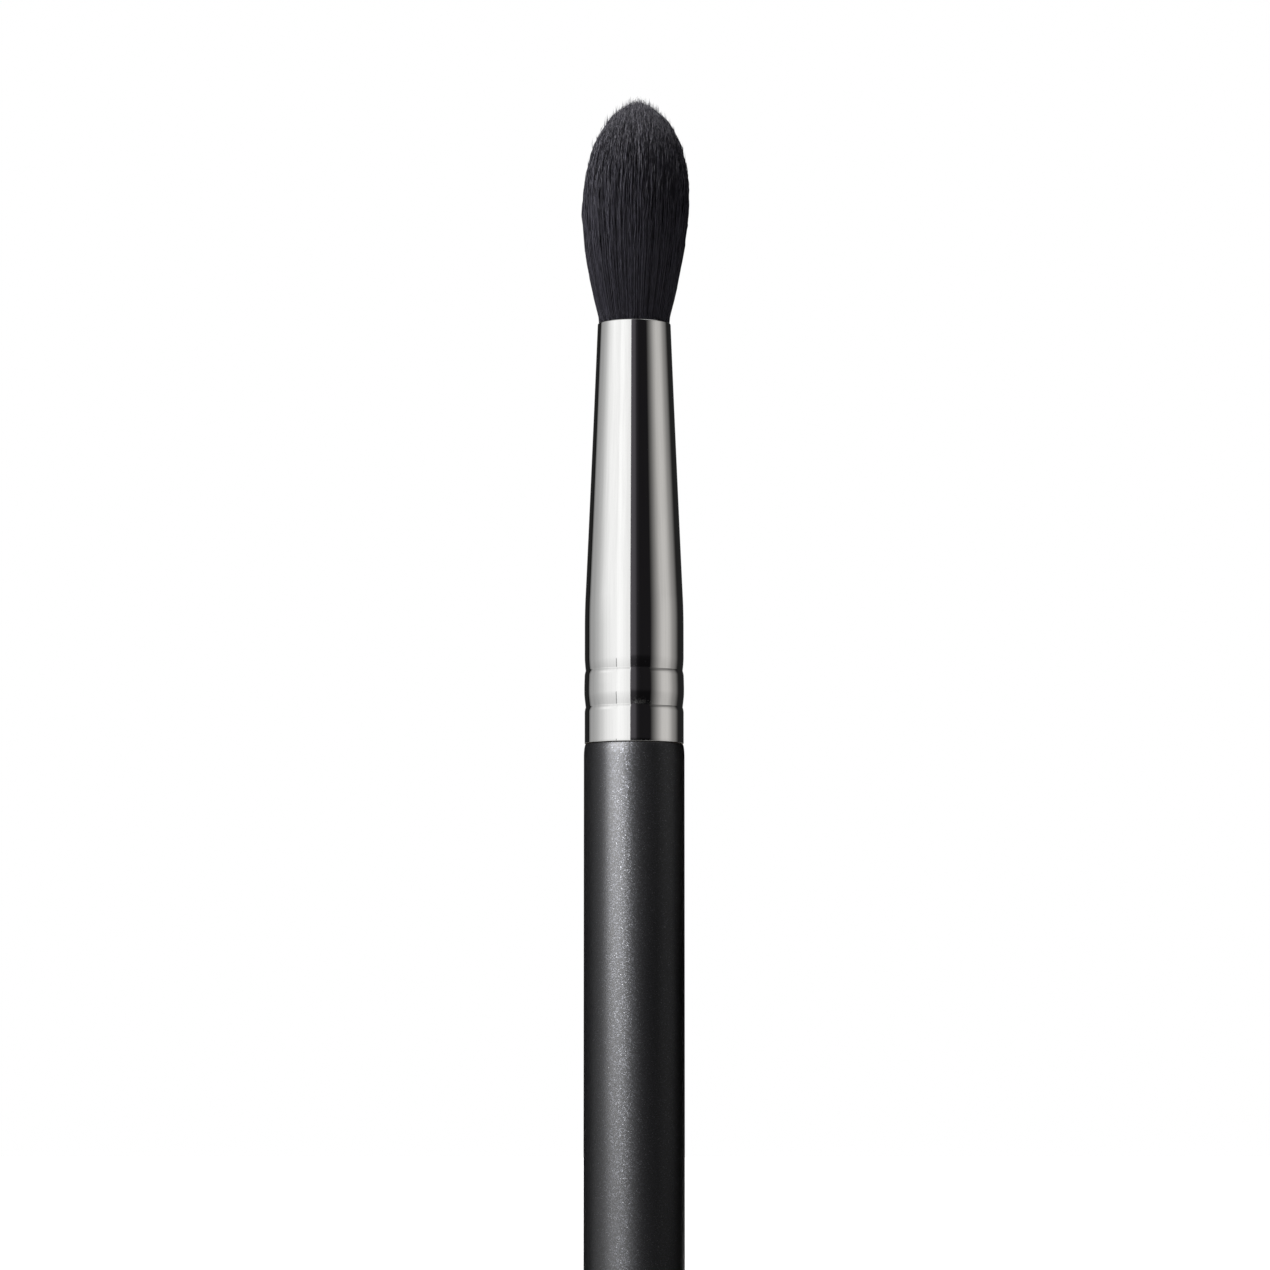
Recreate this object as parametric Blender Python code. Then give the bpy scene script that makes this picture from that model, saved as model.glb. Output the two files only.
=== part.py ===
"""Tapered eye makeup brush, built as it is assembled on the bench.

A turned and lacquered wooden handle ends in a tenon. A plated brass ferrule is glued over the tenon
and crimped onto it with two rolled grooves. The tuft of fibres is bound with thread, drawn into the
ferrule's mouth and potted from behind with resin.

Metres, +Z up. The origin is the centre of the flat on the handle's butt end. The fibres point up.
"""

import math
import random

import bmesh
import bpy
from mathutils import Vector, geometry

# Lengths along the brush
HANDLE_LENGTH = 0.1208  # butt end to the shoulder that the ferrule meets
FERRULE_LENGTH = 0.0424
HEAD_LENGTH = 0.0226  # ferrule mouth to the tip of the fibres
FIT_GAP = 0.00025  # glue line, and clearance between seated pieces

# Handle
BARREL_RADIUS = 0.0050
TAPER_TOP = 0.066  # height where the straight barrel starts to narrow towards the butt
TAPER_CURVE_SHARE = 1.8  # power of the taper: 1 is a straight cone, and more is a fuller curve
BUTT_RADIUS = 0.0032
BUTT_FLAT_RADIUS = 0.0013
BUTT_ROUND_HEIGHT = 0.0024
SHOULDER_ROUND_HEIGHT = 0.0012
SHOULDER_ROUND_DEPTH = 0.00018
TENON_LENGTH = 0.017
TENON_CHAMFER = 0.0006

# Ferrule: a tube whose upper part is drawn down to a cone
TUBE_RADIUS = 0.004925
MOUTH_RADIUS = 0.00364
TUBE_WALL = 0.00035
KNEE_HEIGHT = 0.0132  # where the lines of the tube and the cone cross, above the lower rim
KNEE_BLEND = 0.0016
CONE_SAG = 0.00002
LIP_ROUND = 0.0002
RIM_ROUND = 0.0001

# The two rolled grooves that hold the ferrule on the tenon
LOWER_CRIMP_HEIGHT = 0.0038
UPPER_CRIMP_HEIGHT = 0.0074
CRIMP_DEPTH = 0.0001
CRIMP_UPPER_FLANK = 0.0011  # the roller leaves a long flank above the groove's bottom
CRIMP_LOWER_FLANK = 0.0006
CRIMP_CURVE_SHARE = 1.3  # power of the flanks: 1 is straight, and more is hollow
SHOWN_FLANK_SHARES = (0.5, 1)  # where the outline has points on each flank
HIDDEN_FLANK_SHARES = (1,)
BAND_CROWN = 0.00004  # how far the band between the grooves stands out

# Tuft
BELLY_RADIUS = 0.00535
BELLY_HEIGHT = 0.0117  # above the ferrule mouth
FLARE_CURVE_SHARE = 1.75  # power of the flare: more spreads the fibres sooner above the mouth
TIP_CONVERGE_SHARE = 0.06  # how far the fibres lean in again at the tip
TIP_SCATTER = 0.0006
STRAND_COUNT = 370
STRAND_SIDES = 3
STRAND_FILL_SHARE = 0.74  # a strand's radius as a share of the spiral's spacing
RIM_MARGIN_SHARE = 1.3  # from the outermost strands to the bundle's rim, in strand radii
STRAND_SEED = 7
OUTER_STRAND_SHARE = 0.7  # strands past this share of the radius bend most and get one more ring
OUTER_RING_SHARES = (0.28, 0.58, 0.9)
INNER_RING_SHARES = (0.45, 0.9)
RING_WIDTH_SHARES = (1.0, 1.0, 0.8)  # the last rings below the point
ROOT_RECESS = 0.0002  # from the mouth down to the top of the packed roots
ROOT_NECK = 0.0036  # packed roots above the thread's waist
ROOT_FOOT = 0.0014  # packed roots below the thread's waist

# Binding thread, wound round the waist of the packed roots
THREAD_DIAMETER = 0.00045
THREAD_TURNS = 3
THREAD_PITCH = 0.0009
THREAD_TURN_POINTS = 24
WAIST_SLOPE = 0.0004  # height of the waist's sloping ends

# Resin and glue
RESIN_THICKNESS = 0.0030
RESIN_MENISCUS = 0.0008
MENISCUS_SHARES = (0.8, 0.5, 0)  # where its outline has points, out from the axis
GLUE_RING_HEIGHT = 0.0014
GLUE_RING_WIDTH = 0.0015

# Facets
SHOWN_SEGMENTS = 48
HIDDEN_SEGMENTS = 24
ROUND_STEPS = 4
BUTT_STEPS = 7
TAPER_STEPS = 9
CONE_STEPS = 4
SMOOTH_ANGLE = math.radians(30)
WELD = 1e-7  # merge distance for the seam and the poles of a turned piece

FERRULE_BASE_Z = HANDLE_LENGTH + FIT_GAP
MOUTH_Z = FERRULE_BASE_Z + FERRULE_LENGTH
GOLDEN_ANGLE = math.pi * (3 - math.sqrt(5))


def clear_scene():
    for obj in list(bpy.data.objects):
        bpy.data.objects.remove(obj, do_unlink=True)


def make_material(name, color, roughness, metallic=0.0):
    material = bpy.data.materials.new(name)
    material.use_nodes = True
    shader = material.node_tree.nodes["Principled BSDF"]
    shader.inputs["Base Color"].default_value = (*color, 1.0)
    shader.inputs["Roughness"].default_value = roughness
    shader.inputs["Metallic"].default_value = metallic
    material.diffuse_color = (*color, 1.0)
    return material


def add_mesh_object(name, bm, material):
    """Turns a bmesh into a shaded object and frees the bmesh."""
    mesh = bpy.data.meshes.new(name)
    bm.to_mesh(mesh)
    bm.free()
    mesh.shade_smooth()
    mesh.set_sharp_from_angle(angle=SMOOTH_ANGLE)
    mesh.materials.append(material)
    obj = bpy.data.objects.new(name, mesh)
    bpy.context.scene.collection.objects.link(obj)
    return obj


def turn(name, outline, material, segments, closed=False):
    """Revolves an outline of (radius, z) points about Z. A closed outline makes a ring."""
    bm = bmesh.new()
    verts = [bm.verts.new((radius, 0, z)) for radius, z in outline]
    pairs = list(zip(verts, verts[1:]))
    if closed:
        pairs.append((verts[-1], verts[0]))
    edges = [bm.edges.new(pair) for pair in pairs]
    bmesh.ops.spin(
        bm,
        geom=verts + edges,
        cent=(0, 0, 0),
        axis=(0, 0, 1),
        angle=math.tau,
        steps=segments,
        use_merge=True,
    )
    bmesh.ops.remove_doubles(bm, verts=bm.verts[:], dist=WELD)
    bmesh.ops.recalc_face_normals(bm, faces=bm.faces[:])
    return add_mesh_object(name, bm, material)


def quarter_arc(start, end, corner, steps=ROUND_STEPS):
    """Points of a quarter ellipse from start to end, bulging towards the corner between them."""
    centre = [start[axis] + end[axis] - corner[axis] for axis in (0, 1)]
    points = []
    for step in range(steps + 1):
        angle = math.pi / 2 * step / steps
        along_start = math.cos(angle)
        along_end = math.sin(angle)
        points.append(tuple(
            centre[axis]
            + (start[axis] - centre[axis]) * along_start
            + (end[axis] - centre[axis]) * along_end
            for axis in (0, 1)
        ))
    return points


# Radii that the seated pieces share. Heights here count from the ferrule's lower rim.

def crimp_dip(height, bottom):
    """How far one rolled groove pulls the tube in at this height."""
    flank = CRIMP_UPPER_FLANK if height > bottom else CRIMP_LOWER_FLANK
    reach = max(0.0, 1 - abs(height - bottom) / flank)
    return CRIMP_DEPTH * reach**CRIMP_CURVE_SHARE


def ferrule_radius(height):
    """Outer radius of the ferrule: tube, knee and cone, with the band and the two grooves."""
    cone_length = FERRULE_LENGTH - KNEE_HEIGHT
    slope = (TUBE_RADIUS - MOUTH_RADIUS) / cone_length
    past_knee = height - KNEE_HEIGHT
    if past_knee <= -KNEE_BLEND:
        radius = TUBE_RADIUS
    elif past_knee < KNEE_BLEND:
        radius = TUBE_RADIUS - slope * (past_knee + KNEE_BLEND) ** 2 / (4 * KNEE_BLEND)
    else:
        along = past_knee / cone_length
        radius = TUBE_RADIUS - slope * past_knee - 4 * CONE_SAG * along * (1 - along)
    if LOWER_CRIMP_HEIGHT < height < UPPER_CRIMP_HEIGHT:
        across = (height - LOWER_CRIMP_HEIGHT) / (UPPER_CRIMP_HEIGHT - LOWER_CRIMP_HEIGHT)
        radius += BAND_CROWN * math.sin(math.pi * across) ** 2
    return radius - crimp_dip(height, LOWER_CRIMP_HEIGHT) - crimp_dip(height, UPPER_CRIMP_HEIGHT)


def bore_radius(height):
    return ferrule_radius(height) - TUBE_WALL


def seat_radius(height):
    """Radius of whatever is glued inside the ferrule."""
    return bore_radius(height) - FIT_GAP


def crimp_heights(shares):
    """Heights that draw both grooves, at these shares of their flanks, and the band between."""
    heights = [(LOWER_CRIMP_HEIGHT + UPPER_CRIMP_HEIGHT) / 2]
    for bottom in (LOWER_CRIMP_HEIGHT, UPPER_CRIMP_HEIGHT):
        heights += [bottom]
        heights += [bottom + CRIMP_UPPER_FLANK * share for share in shares]
        heights += [bottom - CRIMP_LOWER_FLANK * share for share in shares]
    return sorted(heights)


def knee_heights():
    return [KNEE_HEIGHT - KNEE_BLEND, KNEE_HEIGHT, KNEE_HEIGHT + KNEE_BLEND]


def cone_heights():
    start = KNEE_HEIGHT + KNEE_BLEND
    length = FERRULE_LENGTH - LIP_ROUND - start
    return [start + length * step / CONE_STEPS for step in range(1, CONE_STEPS)]


# Outlines of the turned pieces, as (radius, z) points

def taper_radius(z):
    """Radius of the handle below its shoulder."""
    along = min(1.0, z / TAPER_TOP)
    return BUTT_RADIUS + (BARREL_RADIUS - BUTT_RADIUS) * (1 - (1 - along) ** TAPER_CURVE_SHARE)


def handle_outline():
    butt_edge = taper_radius(BUTT_ROUND_HEIGHT)
    outline = [(0, 0)]
    outline += quarter_arc(
        (BUTT_FLAT_RADIUS, 0), (butt_edge, BUTT_ROUND_HEIGHT), (butt_edge, 0), BUTT_STEPS
    )
    for step in range(1, TAPER_STEPS + 1):
        z = BUTT_ROUND_HEIGHT + (TAPER_TOP - BUTT_ROUND_HEIGHT) * step / TAPER_STEPS
        outline.append((taper_radius(z), z))
    outline += quarter_arc(
        (BARREL_RADIUS, HANDLE_LENGTH - SHOULDER_ROUND_HEIGHT),
        (BARREL_RADIUS - SHOULDER_ROUND_DEPTH, HANDLE_LENGTH),
        (BARREL_RADIUS, HANDLE_LENGTH),
    )
    outline.append((seat_radius(0), HANDLE_LENGTH))
    chamfer_height = TENON_LENGTH - TENON_CHAMFER
    bends = crimp_heights(HIDDEN_FLANK_SHARES) + knee_heights()
    heights = [height for height in bends if height < chamfer_height]
    heights.append(chamfer_height)
    outline += [(seat_radius(height), FERRULE_BASE_Z + height) for height in heights]
    outline.append((seat_radius(TENON_LENGTH) - TENON_CHAMFER, FERRULE_BASE_Z + TENON_LENGTH))
    outline.append((0, FERRULE_BASE_Z + TENON_LENGTH))
    return outline


def ferrule_outline():
    """Closed outline of the tube's wall: up the outside, over the lip and down the bore."""
    outer = [(TUBE_RADIUS - RIM_ROUND, 0), (TUBE_RADIUS, RIM_ROUND)]
    shown_heights = crimp_heights(SHOWN_FLANK_SHARES) + knee_heights() + cone_heights()
    outer += [(ferrule_radius(height), height) for height in shown_heights]
    lip_radius = ferrule_radius(FERRULE_LENGTH - LIP_ROUND)
    outer += quarter_arc(
        (lip_radius, FERRULE_LENGTH - LIP_ROUND),
        (lip_radius - LIP_ROUND, FERRULE_LENGTH),
        (lip_radius, FERRULE_LENGTH),
    )
    inner = [(bore_radius(FERRULE_LENGTH), FERRULE_LENGTH)]
    hidden_heights = crimp_heights(HIDDEN_FLANK_SHARES) + knee_heights() + cone_heights()
    inner += [(bore_radius(height), height) for height in reversed(hidden_heights)]
    inner.append((bore_radius(0), 0))
    return [(radius, FERRULE_BASE_Z + height) for radius, height in outer + inner]


def root_outline():
    """Outline of the packed roots, top to bottom: the bore's taper and the thread's waist."""
    top = FERRULE_LENGTH - ROOT_RECESS
    waist_top, waist_bottom = waist_heights()
    waist_depth = THREAD_DIAMETER + FIT_GAP
    outline = [
        (seat_radius(top), top),
        (seat_radius(waist_top), waist_top),
        (seat_radius(waist_top) - waist_depth, waist_top - WAIST_SLOPE),
        (seat_radius(waist_bottom) - waist_depth, waist_bottom + WAIST_SLOPE),
        (seat_radius(waist_bottom), waist_bottom),
        (seat_radius(root_bottom()), root_bottom()),
    ]
    return [(radius, FERRULE_BASE_Z + height) for radius, height in outline]


def waist_heights():
    """Top and bottom of the waist, which has room for the winding between its sloping ends."""
    winding = THREAD_TURNS * THREAD_PITCH + THREAD_DIAMETER
    top = FERRULE_LENGTH - ROOT_RECESS - ROOT_NECK
    return top, top - winding - 2 * (WAIST_SLOPE + FIT_GAP)


def root_bottom():
    return waist_heights()[1] - ROOT_FOOT


def resin_outline():
    """Potting resin behind the roots, with a hollow meniscus on its free lower face."""
    top = root_bottom() - FIT_GAP
    bottom = top - RESIN_THICKNESS
    edge = seat_radius(bottom)
    outline = [(0, top), (seat_radius(top), top), (edge, bottom)]
    for share in MENISCUS_SHARES:
        outline.append((edge * share, bottom + RESIN_MENISCUS * (1 - share**2)))
    return [(radius, FERRULE_BASE_Z + height) for radius, height in outline]


def glue_outline():
    """Closed outline of the squeezed-out glue: a fillet between the tenon's end and the bore."""
    chamfer_height = TENON_LENGTH - TENON_CHAMFER + FIT_GAP
    floor = TENON_LENGTH + FIT_GAP
    top = floor + GLUE_RING_HEIGHT
    inner = seat_radius(TENON_LENGTH) - TENON_CHAMFER - GLUE_RING_WIDTH
    outline = [(seat_radius(chamfer_height), chamfer_height)]
    outline += quarter_arc((seat_radius(top), top), (inner, floor), (seat_radius(top), floor))
    outline.append((seat_radius(TENON_LENGTH) - TENON_CHAMFER, floor))
    return [(radius, FERRULE_BASE_Z + height) for radius, height in outline]


# The tuft and its binding. Heights of the strands count from the ferrule's mouth.

def flow_radius(height):
    """Radius of the bundle of fibres: it flares up to the belly and then leans in a little."""
    if height < BELLY_HEIGHT:
        root_radius = seat_radius(FERRULE_LENGTH - ROOT_RECESS)
        along = (height + ROOT_RECESS) / (BELLY_HEIGHT + ROOT_RECESS)
        return root_radius + (BELLY_RADIUS - root_radius) * (1 - (1 - along) ** FLARE_CURVE_SHARE)
    along = (height - BELLY_HEIGHT) / (HEAD_LENGTH - BELLY_HEIGHT)
    return BELLY_RADIUS * (1 - TIP_CONVERGE_SHARE * along**2)


def strand_layout():
    """One dict for each strand, spaced on a sunflower spiral over a disc of radius 1.

    The strands' ends form an elliptical dome above the belly.
    """
    scatter = random.Random(STRAND_SEED)
    width_share = STRAND_FILL_SHARE / math.sqrt(STRAND_COUNT)
    reach_share = 1 - RIM_MARGIN_SHARE * width_share
    strands = []
    for index in range(STRAND_COUNT):
        radius_share = reach_share * math.sqrt((index + 0.5) / STRAND_COUNT)
        angle = index * GOLDEN_ANGLE
        twist = scatter.uniform(0, math.tau)
        shortfall = TIP_SCATTER * scatter.random() if index else 0
        turns = [twist + math.tau * side / STRAND_SIDES for side in range(STRAND_SIDES)]
        dome_height = (HEAD_LENGTH - BELLY_HEIGHT) * math.sqrt(1 - radius_share**2)
        strands.append({
            "share": radius_share,
            "centre": Vector((math.cos(angle), math.sin(angle))) * radius_share,
            "corners": [Vector((math.cos(turn), math.sin(turn))) * width_share for turn in turns],
            "end": BELLY_HEIGHT + dome_height - shortfall,
        })
    return strands


def grow_strand(bm, base, strand):
    """Draws one strand up from its base corners, through its rings, to a point."""
    start = -ROOT_RECESS
    length = strand["end"] - start
    ring_shares = OUTER_RING_SHARES if strand["share"] > OUTER_STRAND_SHARE else INNER_RING_SHARES
    ring = base
    for share, width in zip(ring_shares, RING_WIDTH_SHARES[-len(ring_shares):]):
        height = start + length * share
        above = []
        for corner in strand["corners"]:
            place = (strand["centre"] + corner * width) * flow_radius(height)
            above.append(bm.verts.new((*place, MOUTH_Z + height)))
        for side in range(STRAND_SIDES):
            after = (side + 1) % STRAND_SIDES
            bm.faces.new((ring[side], ring[after], above[after], above[side]))
        ring = above
    tip = strand["centre"] * flow_radius(strand["end"])
    point = bm.verts.new((*tip, MOUTH_Z + strand["end"]))
    for side in range(STRAND_SIDES):
        bm.faces.new((ring[side], ring[(side + 1) % STRAND_SIDES], point))


def make_bristle_tuft(material):
    """Strands that grow out of the top face of the packed, resin-soaked roots.

    The top face is triangulated on a disc of radius 1, with each strand's base as a hole in it.
    """
    strands = strand_layout()
    steps = range(HIDDEN_SEGMENTS)
    rim_shares = [Vector((math.cos(math.tau * step / HIDDEN_SEGMENTS),
                          math.sin(math.tau * step / HIDDEN_SEGMENTS))) for step in steps]
    flat = list(rim_shares)
    faces = [list(steps)]
    for strand in strands:
        faces.append(list(range(len(flat), len(flat) + STRAND_SIDES)))
        flat += [strand["centre"] + corner for corner in strand["corners"]]
    inside_faces = 1
    tolerance_share = 1e-6
    points, _, triangles, sources, _, owners = geometry.delaunay_2d_cdt(
        flat, [], faces, inside_faces, tolerance_share
    )
    place_of = {source: index for index, group in enumerate(sources) for source in group}

    top_radius, top_z = root_outline()[0]
    bm = bmesh.new()
    top = [bm.verts.new((*(point * top_radius), top_z)) for point in points]
    for triangle, owner in zip(triangles, owners):
        if max(owner) == 0:
            bm.faces.new([top[index] for index in triangle])
    for strand, face in zip(strands, faces[1:]):
        grow_strand(bm, [top[place_of[index]] for index in face], strand)
    ring = [top[place_of[index]] for index in steps]
    for radius, z in root_outline()[1:]:
        below = [bm.verts.new((*(share * radius), z)) for share in rim_shares]
        for step in steps:
            after = (step + 1) % HIDDEN_SEGMENTS
            bm.faces.new((ring[step], below[step], below[after], ring[after]))
        ring = below
    bm.faces.new(ring)
    bmesh.ops.recalc_face_normals(bm, faces=bm.faces[:])
    return add_mesh_object("bristle_tuft", bm, material)


def thread_points():
    """Helix that lies in the waist and follows the bore's taper."""
    lowest = waist_heights()[1] + WAIST_SLOPE + FIT_GAP + THREAD_DIAMETER / 2
    points = []
    for index in range(THREAD_TURNS * THREAD_TURN_POINTS + 1):
        turns = index / THREAD_TURN_POINTS
        height = lowest + turns * THREAD_PITCH
        radius = seat_radius(height) - THREAD_DIAMETER / 2
        angle = math.tau * turns
        points.append(Vector((
            radius * math.cos(angle),
            radius * math.sin(angle),
            FERRULE_BASE_Z + height,
        )))
    return points


def make_binding_thread(material):
    """One unbroken thread wound round the waist of the roots."""
    points = thread_points()
    curve = bpy.data.curves.new("binding_thread", "CURVE")
    curve.dimensions = "3D"
    curve.bevel_depth = THREAD_DIAMETER / 2
    curve.bevel_resolution = 1
    curve.use_fill_caps = True
    spline = curve.splines.new("POLY")
    spline.points.add(len(points) - 1)
    for point, place in zip(spline.points, points):
        point.co = (*place, 1)
    curve.materials.append(material)
    obj = bpy.data.objects.new("binding_thread", curve)
    bpy.context.scene.collection.objects.link(obj)
    turn_above = zip(points, points[THREAD_TURN_POINTS:])
    least = min((low - high).length for low, high in turn_above) - THREAD_DIAMETER
    print(f"least gap between turns of the thread: {least * 1000:.2f} mm")
    return obj


def build():
    clear_scene()
    lacquer = make_material("black_pearl_lacquer", (0.016, 0.016, 0.018), 0.42)
    nickel = make_material("polished_nickel_plate", (0.72, 0.71, 0.69), 0.08, 1.0)
    fibre = make_material("black_synthetic_fibre", (0.012, 0.012, 0.014), 0.6)
    cotton = make_material("waxed_cotton_thread", (0.55, 0.52, 0.45), 0.8)
    resin = make_material("potting_resin", (0.45, 0.33, 0.16), 0.25)
    glue = make_material("wood_glue", (0.75, 0.72, 0.62), 0.4)
    turn("handle", handle_outline(), lacquer, SHOWN_SEGMENTS)
    turn("ferrule", ferrule_outline(), nickel, SHOWN_SEGMENTS, closed=True)
    make_bristle_tuft(fibre)
    make_binding_thread(cotton)
    turn("resin_plug", resin_outline(), resin, HIDDEN_SEGMENTS)
    turn("glue_ring", glue_outline(), glue, HIDDEN_SEGMENTS, closed=True)


build()
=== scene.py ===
# Eye makeup brush: fine surfaces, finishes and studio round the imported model. Metres, +Z up.
import math

import bpy
import numpy as np
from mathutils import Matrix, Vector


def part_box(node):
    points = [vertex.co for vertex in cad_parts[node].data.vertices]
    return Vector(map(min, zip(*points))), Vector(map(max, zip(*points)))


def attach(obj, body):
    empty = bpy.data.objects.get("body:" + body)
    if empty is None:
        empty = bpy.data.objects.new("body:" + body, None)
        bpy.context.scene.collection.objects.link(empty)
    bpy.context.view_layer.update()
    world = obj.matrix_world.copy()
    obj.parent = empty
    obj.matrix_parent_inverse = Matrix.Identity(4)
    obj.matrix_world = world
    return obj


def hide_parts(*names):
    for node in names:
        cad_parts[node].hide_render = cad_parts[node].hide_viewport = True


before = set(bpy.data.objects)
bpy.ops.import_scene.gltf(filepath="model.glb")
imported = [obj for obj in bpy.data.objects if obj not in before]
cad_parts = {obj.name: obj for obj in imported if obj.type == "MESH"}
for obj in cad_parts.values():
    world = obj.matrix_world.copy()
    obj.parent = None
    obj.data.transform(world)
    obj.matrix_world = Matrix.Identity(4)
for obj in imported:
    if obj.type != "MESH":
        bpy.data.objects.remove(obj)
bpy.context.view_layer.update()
mm = 0.001
print("frame loaded with", ", ".join(sorted(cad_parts)))


# Camera: level with the middle of the handle, looking up a little at the ferrule and the tuft

cameraSetup = {
    "distance": 474.2 * mm,
    "height": 89.6 * mm,
    "side": 0.08 * mm,
    "pitch": 5.112,  # degrees up from level
    "lens": 135,
    "sensor": 36,
    "nearest": 0.01,
    "farthest": 50,
}


def placeCamera(setup):
    data = bpy.data.cameras.new("photoCamera")
    data.lens = setup["lens"]
    data.sensor_width = setup["sensor"]
    data.clip_start = setup["nearest"]
    data.clip_end = setup["farthest"]
    camera = bpy.data.objects.new("photoCamera", data)
    bpy.context.scene.collection.objects.link(camera)
    camera.location = (setup["side"], -setup["distance"], setup["height"])
    camera.rotation_euler = (math.radians(90 + setup["pitch"]), 0, 0)
    bpy.context.scene.camera = camera


placeCamera(cameraSetup)
bpy.context.scene.view_settings.view_transform = "Standard"
print("camera placed")


# Mesh tools

def addPiece(name, points, faces):
    # points is n by 3, and faces lists arrays of point numbers, one array for each kind of face
    corners = np.concatenate([group.ravel() for group in faces])
    sizes = np.concatenate([np.full(len(group), group.shape[1]) for group in faces])
    mesh = bpy.data.meshes.new(name)
    mesh.vertices.add(len(points))
    mesh.vertices.foreach_set("co", points.astype(np.float32).ravel())
    mesh.loops.add(len(corners))
    mesh.loops.foreach_set("vertex_index", corners.astype(np.int32))
    mesh.polygons.add(len(sizes))
    mesh.polygons.foreach_set("loop_start", (np.cumsum(sizes) - sizes).astype(np.int32))
    mesh.update(calc_edges=True)
    mesh.shade_smooth()
    piece = bpy.data.objects.new(name, mesh)
    bpy.context.scene.collection.objects.link(piece)
    return piece


def addMap(piece, name, places):
    # A map on the piece's faces, from one place of two numbers for each point
    corner = np.empty(len(piece.data.loops), np.int32)
    piece.data.loops.foreach_get("vertex_index", corner)
    layer = piece.data.uv_layers.new(name=name)
    layer.uv.foreach_set("vector", places[corner].astype(np.float32).ravel())


def gridFaces(rows, columns, closedRows):
    # Four-sided faces of a grid that closes on itself along its columns, and along its rows if asked
    row = np.arange(rows if closedRows else rows - 1)[:, None]
    column = np.arange(columns)[None, :]
    nextRow = (row + 1) % rows
    nextColumn = (column + 1) % columns
    corners = (
        row * columns + column,
        row * columns + nextColumn,
        nextRow * columns + nextColumn,
        nextRow * columns + column,
    )
    return np.stack(corners, axis=-1).reshape(-1, 4)


def turnProfile(profile, segments, ring=False):
    # Point (i, j) is (r_i cos a_j, r_i sin a_j, z_i), where a_j is j / segments of a full turn.
    # A ring's profile closes on itself. Any other starts and ends on the axis, with a fan at each pole.
    profile = np.asarray(profile)
    turned = profile if ring else profile[1:-1]
    angle = np.linspace(0, math.tau, segments, endpoint=False)
    points = np.stack((
        turned[:, :1] * np.cos(angle),
        turned[:, :1] * np.sin(angle),
        np.repeat(turned[:, 1:], segments, axis=1),
    ), axis=-1).reshape(-1, 3)
    faces = [gridFaces(len(turned), segments, ring)]
    if not ring:
        here = np.arange(segments)
        after = (here + 1) % segments
        top = (len(turned) - 1) * segments
        low, high = len(points), len(points) + 1
        poles = [(0, 0, profile[0, 1]), (0, 0, profile[-1, 1])]
        points = np.vstack((points, poles))
        faces.append(np.stack((np.full(segments, low), after, here), axis=-1))
        faces.append(np.stack((top + here, top + after, np.full(segments, high)), axis=-1))
    return points, faces


def quarterRound(start, end, corner, steps):
    # Quarter of an ellipse from start to end that bulges to the corner: centre + cos t * a + sin t * b
    start, end, corner = np.array(start), np.array(end), np.array(corner)
    centre = start + end - corner
    t = np.linspace(0, math.pi / 2, steps)[:, None]
    return centre + np.cos(t) * (start - centre) + np.sin(t) * (end - centre)


def spans(bounds, counts):
    # Heights from each bound to the next, in that many even steps, and the last bound
    runs = [np.linspace(a, b, n, endpoint=False) for a, b, n in zip(bounds, bounds[1:], counts)]
    return np.concatenate([*runs, [bounds[-1]]])


# Material tools

def grey(level):
    return (level, level, level, 1.0)


def toLinear(colour):
    # sRGB to linear light: c / 12.92 up to 0.04045, and ((c + 0.055) / 1.055) ^ 2.4 above it
    coded = np.array([int(colour[i:i + 2], 16) for i in (1, 3, 5)]) / 255
    linear = np.where(coded <= 0.04045, coded / 12.92, ((coded + 0.055) / 1.055) ** 2.4)
    return (*linear.tolist(), 1.0)


def addNode(tree, kind, settings=None, links=None):
    # Settings are the node's properties, its inputs by name or number, and a ramp's stops, whose
    # colours are sRGB hex or linear
    node = tree.nodes.new("ShaderNode" + kind)
    for name, value in (settings or {}).items():
        if name == "stops":
            while len(node.color_ramp.elements) < len(value):
                node.color_ramp.elements.new(1.0)
            for element, (position, colour) in zip(node.color_ramp.elements, value):
                element.position = position
                element.color = toLinear(colour) if isinstance(colour, str) else colour
        elif isinstance(name, str) and hasattr(node, name):
            setattr(node, name, value)
        else:
            node.inputs[name].default_value = value
    for name, source in (links or {}).items():
        tree.links.new(source, node.inputs[name])
    return node


def newMaterial(name):
    material = bpy.data.materials.new(name)
    material.use_nodes = True
    material.node_tree.nodes.clear()
    return material, material.node_tree


def addPatches(tree, width, length, detail):
    # Noise from 0 to 1 in patches this wide across the brush and this long up it: X and Y are
    # divided by the width, and Z by the length
    place = addNode(tree, "TexCoord")
    scaled = addNode(tree, "Mapping", {"Scale": (1 / width, 1 / width, 1 / length)}, {
        "Vector": place.outputs["Object"],
    })
    return addNode(tree, "TexNoise", {"Scale": 1.0, "Detail": detail}, {
        "Vector": scaled.outputs["Vector"],
    }).outputs["Fac"]


# Black pearl lacquer: sprayed satin nitrocellulose with fine aluminium flake under a satin clear
# coat, over turned birch. The eye sees near-black, with one soft broad highlight that glitters finely.

lacquer = {
    "base": "#131315",
    "flakeColours": ((0.86, "#55565a"), (1.0, "#8c8d91")),  # most are dim, and a few are bright
    "flakeCell": 0.07 * mm,  # real flake is about 0.03 mm, drawn coarser so that it shows
    "flakeShare": 0.3,
    "flakeTilt": 0.16,
    "baseTilt": 0.02,
    "roughness": 0.37,
    "flakeRoughness": 0.35,
    "ior": 1.55,
    "coatRoughness": 0.38,
    "coatIor": 1.5,
}


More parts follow.
